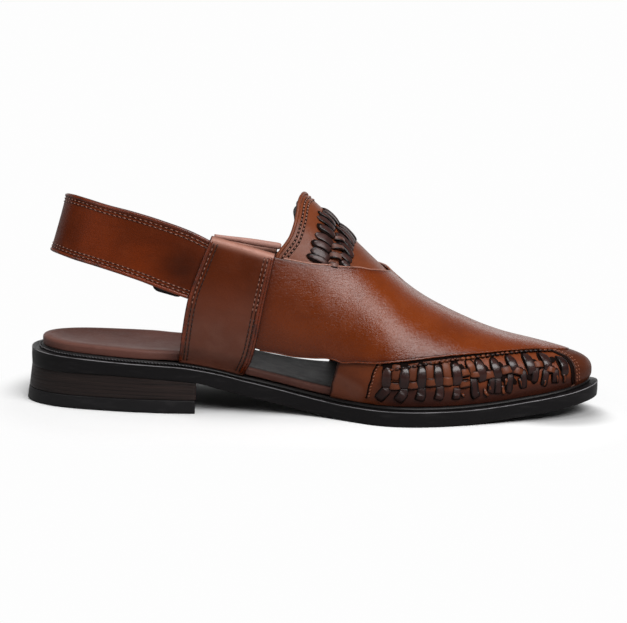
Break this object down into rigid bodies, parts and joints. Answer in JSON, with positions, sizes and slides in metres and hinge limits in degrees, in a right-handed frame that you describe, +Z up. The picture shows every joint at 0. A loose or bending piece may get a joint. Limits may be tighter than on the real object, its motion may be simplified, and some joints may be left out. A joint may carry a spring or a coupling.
{
  "type": "peshawari chappal",
  "caption": "Closed-toe leather sandal with a woven toe band, plain vamp over a woven tongue, looped side straps, a buckled back strap and a stacked heel.",
  "frame": {"origin": "on the floor under the middle of the bounding box", "axes": "+X from heel to toe, +Y towards the little-toe side of this left shoe, +Z up"},
  "size_m": [0.3006, 0.1031, 0.1122],
  "materials": {
    "outsole": "satin black, stained edge",
    "heel_stack": "stacked lifts stained near black, semi-matt",
    "top_lift": "satin black",
    "footbed": "soft brown lining leather over padding",
    "toe_band": "burnished brown, semi-gloss",
    "tongue": "burnished brown, semi-gloss",
    "vamp": "burnished tan, polished",
    "side_strap_medial": "burnished brown, semi-gloss",
    "side_strap_lateral": "burnished brown, semi-gloss",
    "back_strap": "burnished brown, semi-gloss",
    "fastening_strap": "burnished brown, semi-gloss",
    "buckle_frame": "black lacquer, satin",
    "buckle_prong": "black lacquer, satin",
    "keeper": "burnished brown, semi-gloss"
  },
  "bodies": {
    "root": {"outsole": "outsole", "heel_stack": "heel_stack", "top_lift": "top_lift", "footbed": "footbed", "toe_band": "toe_band", "tongue": "tongue", "vamp": "vamp", "side_strap_medial": "side_strap_medial", "side_strap_lateral": "side_strap_lateral", "back_strap": "back_strap", "fastening_strap": "fastening_strap", "buckle_frame": "buckle_frame", "buckle_prong": "buckle_prong", "keeper": "keeper"}
  },
  "joints": []
}
